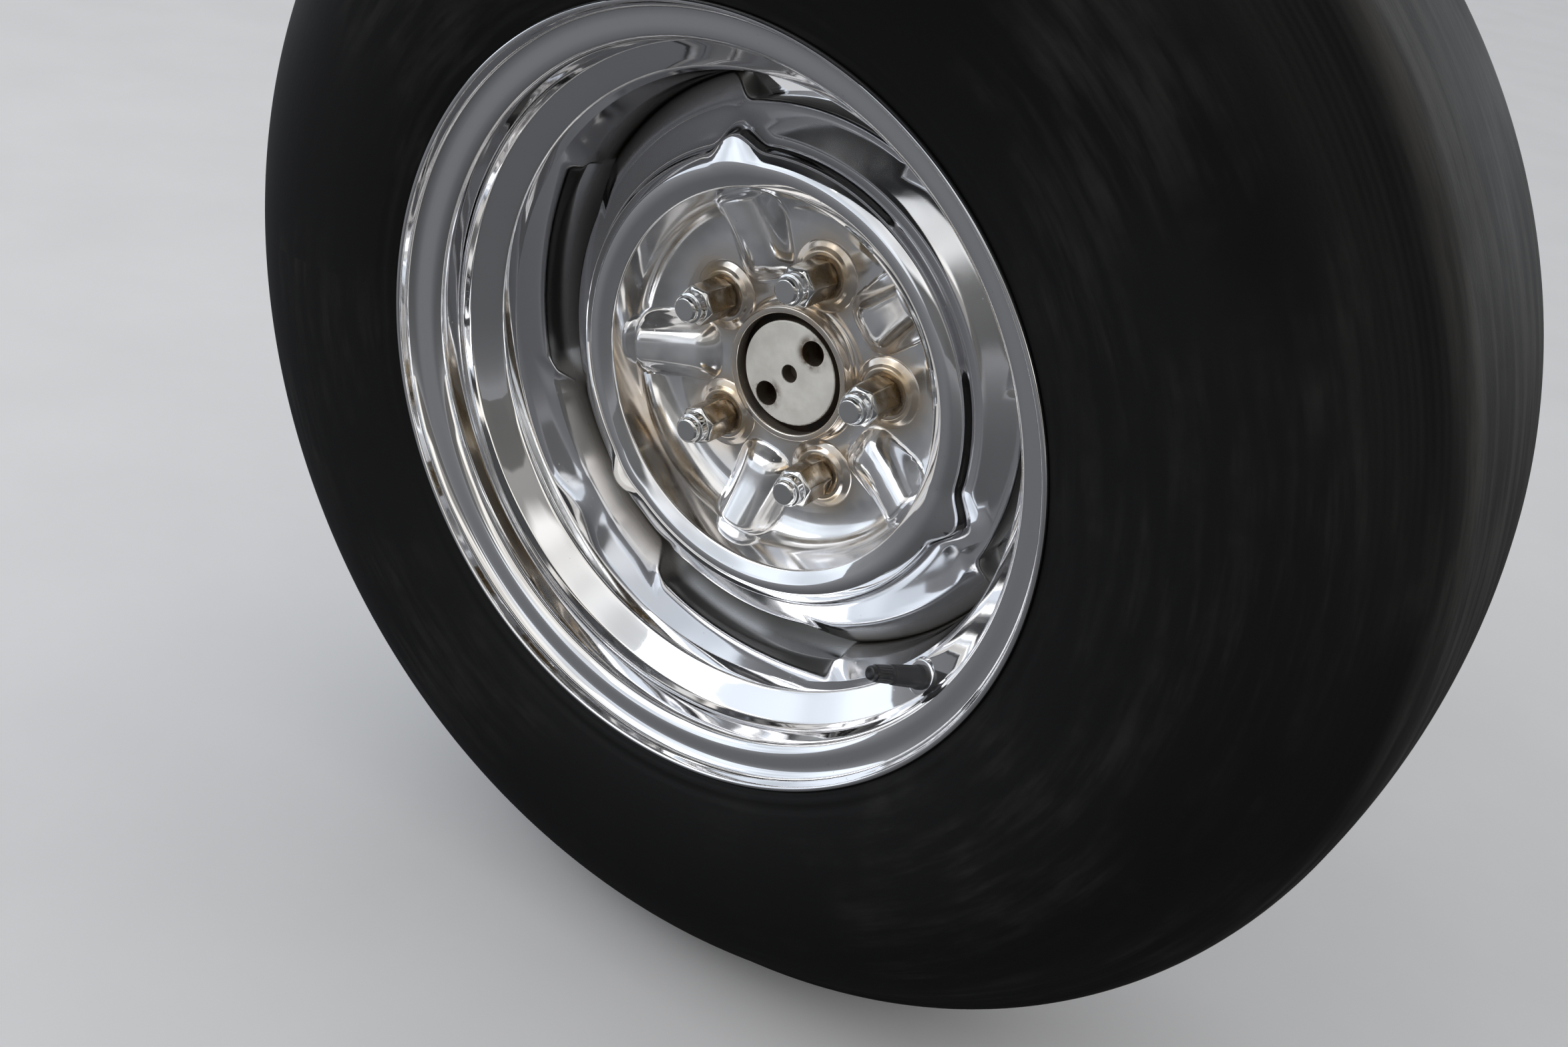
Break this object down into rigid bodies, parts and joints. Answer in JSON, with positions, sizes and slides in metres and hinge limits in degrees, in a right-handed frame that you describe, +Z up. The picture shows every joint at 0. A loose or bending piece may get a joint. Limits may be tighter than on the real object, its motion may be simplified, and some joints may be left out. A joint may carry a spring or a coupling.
{
  "type": "drag racing car rear wheel on axle shaft",
  "caption": "Chromed steel drag racing rear wheel with a smooth slick tyre, long closed lug nuts, brake drum, backing plate and a splined axle shaft that turns in its bearing.",
  "frame": {"origin": "centre of the backing plate's seat against the axle housing, on the axle's axis", "axes": "+Y along the axle away from the wheel's outer side, towards the middle of the car; +Z up; +X across"},
  "size_m": [0.7479, 0.739, 0.748],
  "materials": {
    "tyre": "matt",
    "chrome": "polished",
    "machined_steel": "machined",
    "rubber": "matt",
    "drum_iron": "matt",
    "black_paint": "satin",
    "cap_plastic": "satin"
  },
  "bodies": {
    "carrier": {"backing_plate": "black_paint", "retainer_plate": "machined_steel", "bearing_outer_race": "machined_steel", "wheel_cylinder": "drum_iron", "bleeder_screw": "machined_steel"},
    "wheel": {"tyre": "tyre", "rim": "chrome", "wheel_disc": "chrome", "valve_stem": "rubber", "valve_cap": "cap_plastic", "brake_drum": "drum_iron", "axle_shaft": "machined_steel", "bearing_inner_race": "machined_steel", "lock_ring": "machined_steel", "lug_nut_1": "chrome", "wheel_stud_1": "machined_steel", "lug_nut_2": "chrome", "wheel_stud_2": "machined_steel", "lug_nut_3": "chrome", "wheel_stud_3": "machined_steel", "lug_nut_4": "chrome", "wheel_stud_4": "machined_steel", "lug_nut_5": "chrome", "wheel_stud_5": "machined_steel"}
  },
  "joints": [
    {"name": "wheel_spin", "type": "hinge", "parent": "carrier", "child": "wheel", "pos_m": [0, 0, 0], "axis": [0, 1, 0], "continuous": true}
  ]
}
